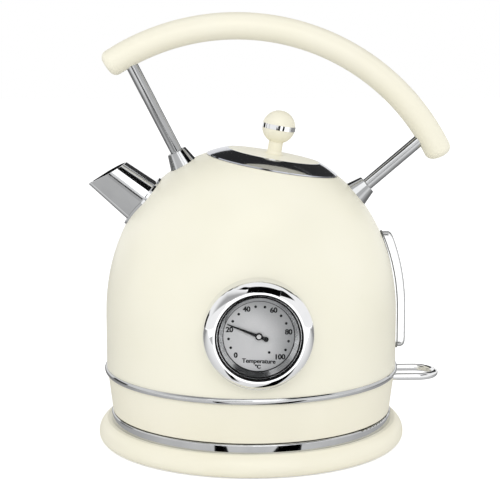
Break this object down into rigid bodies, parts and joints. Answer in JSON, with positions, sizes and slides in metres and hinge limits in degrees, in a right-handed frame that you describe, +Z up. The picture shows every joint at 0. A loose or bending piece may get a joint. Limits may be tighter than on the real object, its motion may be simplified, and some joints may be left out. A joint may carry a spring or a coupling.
{
  "type": "electric kettle",
  "caption": "Cordless electric kettle with a domed enamelled body, arched handle, round temperature gauge, pouring spout, lift-off lid and a round power base.",
  "frame": {"origin": "on the table, on the vertical axis of the round power base", "axes": "+Z up, -X along the spout, +X along the switch lever, -Y towards the temperature gauge"},
  "size_m": [0.2322, 0.2051, 0.2755],
  "materials": {
    "cream_enamel": "smooth glossy enamel",
    "cream_plastic": "smooth glossy moulding",
    "chrome": "polished plating",
    "steel": "brushed",
    "diffuser_aluminium": "plain",
    "contact_brass": "plain",
    "dark_plastic": "fine grain",
    "rubber": "matte",
    "silicone": "matte translucent",
    "lens_glass": "clear",
    "window_plastic": "clear moulding",
    "dial_metal": "satin grey print ground",
    "needle_black": "satin",
    "needle_cap_grey": "satin"
  },
  "bodies": {
    "base": {"base_housing": "cream_plastic", "base_trim_ring": "chrome", "base_bottom_cover": "dark_plastic", "base_foot_ring": "rubber", "base_screws": "steel", "cord_gland": "dark_plastic", "connector_hub": "dark_plastic", "base_contacts": "contact_brass"},
    "swivel": {"swivel_ring": "dark_plastic"},
    "kettle": {"lower_skirt": "cream_plastic", "trim_ring": "chrome", "bottom_cover": "dark_plastic", "bottom_screws": "steel", "heater_plate": "steel", "heat_diffuser": "diffuser_aluminium", "heating_element": "steel", "control_unit": "dark_plastic", "bimetal_discs": "steel", "socket": "dark_plastic", "socket_contacts": "contact_brass", "steam_tube": "steel", "body_wall": "cream_enamel", "body_dome": "cream_enamel", "left_post": "chrome", "right_post": "chrome", "left_collar": "chrome", "right_collar": "chrome", "handle_grip": "cream_plastic", "handle_inserts": "steel", "post_seals": "silicone", "post_nuts": "steel", "spout": "chrome", "filter_frame": "dark_plastic", "filter_mesh": "steel", "gauge_bezel": "chrome", "gauge_lens": "lens_glass", "gauge_dial": "dial_metal", "gauge_case": "steel", "gauge_seal": "silicone", "gauge_stem": "steel", "gauge_nut": "steel", "bimetal_coil": "contact_brass", "level_window": "window_plastic", "window_gasket": "silicone", "switch_bracket": "dark_plastic", "lever_pin": "steel"},
    "needle": {"gauge_needle": "needle_black", "needle_cap": "needle_cap_grey", "needle_spindle": "steel"},
    "lever": {"switch_lever": "chrome"},
    "lid": {"lid_skirt": "chrome", "lid_cover": "cream_enamel", "lid_plug": "steel", "lid_seal": "silicone", "knob_stem": "cream_plastic", "knob_band": "chrome", "knob_top": "cream_plastic", "lid_screw": "steel"}
  },
  "joints": [
    {"name": "kettle_swivel", "type": "hinge", "parent": "base", "child": "swivel", "pos_m": [0, 0, 0.0152], "axis": [0, 0, 1], "continuous": true},
    {"name": "kettle_lift", "type": "slide", "parent": "swivel", "child": "kettle", "axis": [0, 0, 1], "range_m": [0, 0.08]},
    {"name": "lid_lift", "type": "slide", "parent": "kettle", "child": "lid", "axis": [0.1736, 0, 0.9848], "range_m": [0, 0.036]},
    {"name": "switch_press", "type": "hinge", "parent": "kettle", "child": "lever", "pos_m": [0.078, 0, 0.041], "axis": [0, 1, 0], "range_deg": [0, 14]},
    {"name": "needle_turn", "type": "hinge", "parent": "kettle", "child": "needle", "pos_m": [0, -0.0984, 0.0882], "axis": [0, 1, 0], "range_deg": [-62, 203.5], "stiffness_Nm_per_rad": 0.0002}
  ]
}
